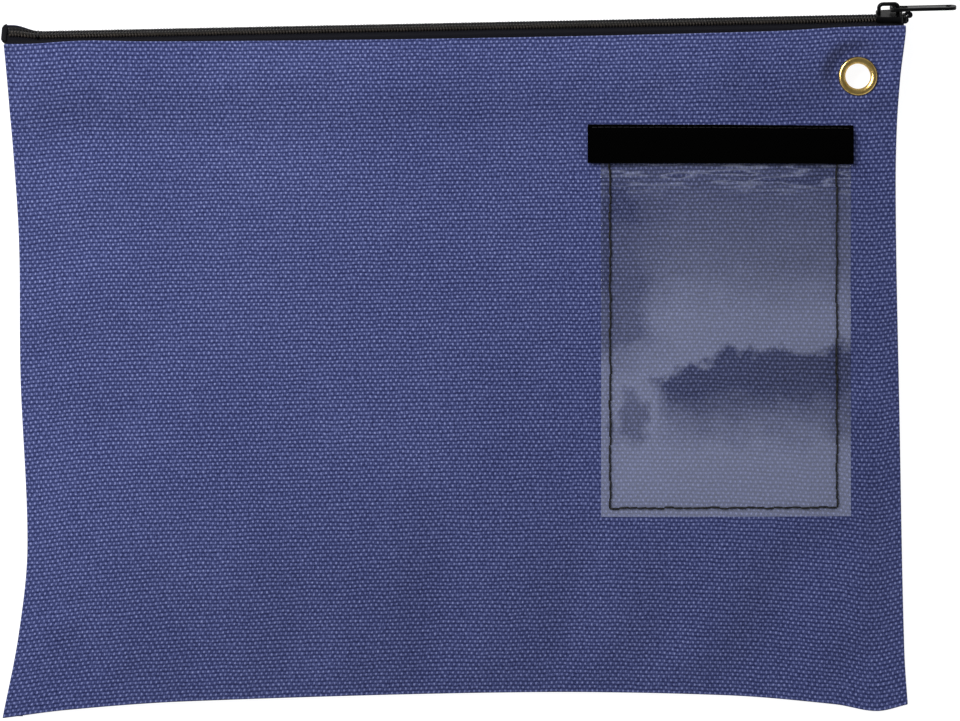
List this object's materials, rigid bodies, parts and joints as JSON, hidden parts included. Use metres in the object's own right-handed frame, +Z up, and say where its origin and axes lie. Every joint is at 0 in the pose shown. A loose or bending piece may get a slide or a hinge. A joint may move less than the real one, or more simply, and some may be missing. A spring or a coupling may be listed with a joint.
{
  "type": "zip deposit bag",
  "caption": "Flat canvas cash deposit bag with a zip along its top edge, a clear card window with a flap, and a brass grommet.",
  "frame": {"origin": "middle of the flat of the back panel, where the bag lies on a table", "axes": "+Z up through the front panel, +Y from the bottom seam to the zip, +X towards the end of the zip where the slider rests when the bag is shut"},
  "size_m": [0.4813, 0.3606, 0.03],
  "materials": {
    "canvas": "heavy navy cotton duck, plain weave",
    "binding": "folded binding tape",
    "zip_tape": "woven polyester tape",
    "coil": "polyester monofilament",
    "thread": "black bonded thread",
    "black_metal": "black enamel on zinc, worn at the edges",
    "brass": "polished, slightly tarnished",
    "vinyl": "clear flexible PVC, slightly milky",
    "hook_loop": "black hook-and-loop tape"
  },
  "bodies": {
    "root": {"front_panel": "canvas", "back_panel": "canvas", "left_seam_binding": "binding", "right_seam_binding": "binding", "bottom_seam_binding": "binding", "zip_tape_front": "zip_tape", "zip_tape_back": "zip_tape", "zip_coil_front": "coil", "zip_coil_back": "coil", "coil_threads": "thread", "zip_seam_stitches": "thread", "zip_top_stops": "black_metal", "zip_bottom_stop": "black_metal", "zip_end_left": "zip_tape", "zip_end_right": "zip_tape", "grommet_eyelet": "brass", "grommet_washer": "brass", "window_sheet": "vinyl", "window_stitches": "thread", "window_loop_strip": "hook_loop", "flap_sewn_edge": "hook_loop", "flap_stitches": "thread"},
    "slider": {"slider_body": "black_metal"},
    "pull": {"slider_pull": "black_metal"},
    "flap": {"window_flap": "hook_loop", "flap_hook_strip": "hook_loop"}
  },
  "joints": [
    {"name": "zip_slide", "type": "slide", "parent": "root", "child": "slider", "axis": [0.9998, 0.0201, 0], "range_m": [-0.42, 0]},
    {"name": "pull_hinge", "type": "hinge", "parent": "slider", "child": "pull", "pos_m": [0.21945, 0.17968, 0.0127], "axis": [0.0069, -0.342, 0.9397], "range_deg": [0, 180]},
    {"name": "flap_hinge", "type": "hinge", "parent": "root", "child": "flap", "pos_m": [0.1333, 0.1172, 0.01924], "axis": [-0.9974, 0, 0.0717], "range_deg": [0, 120]}
  ]
}
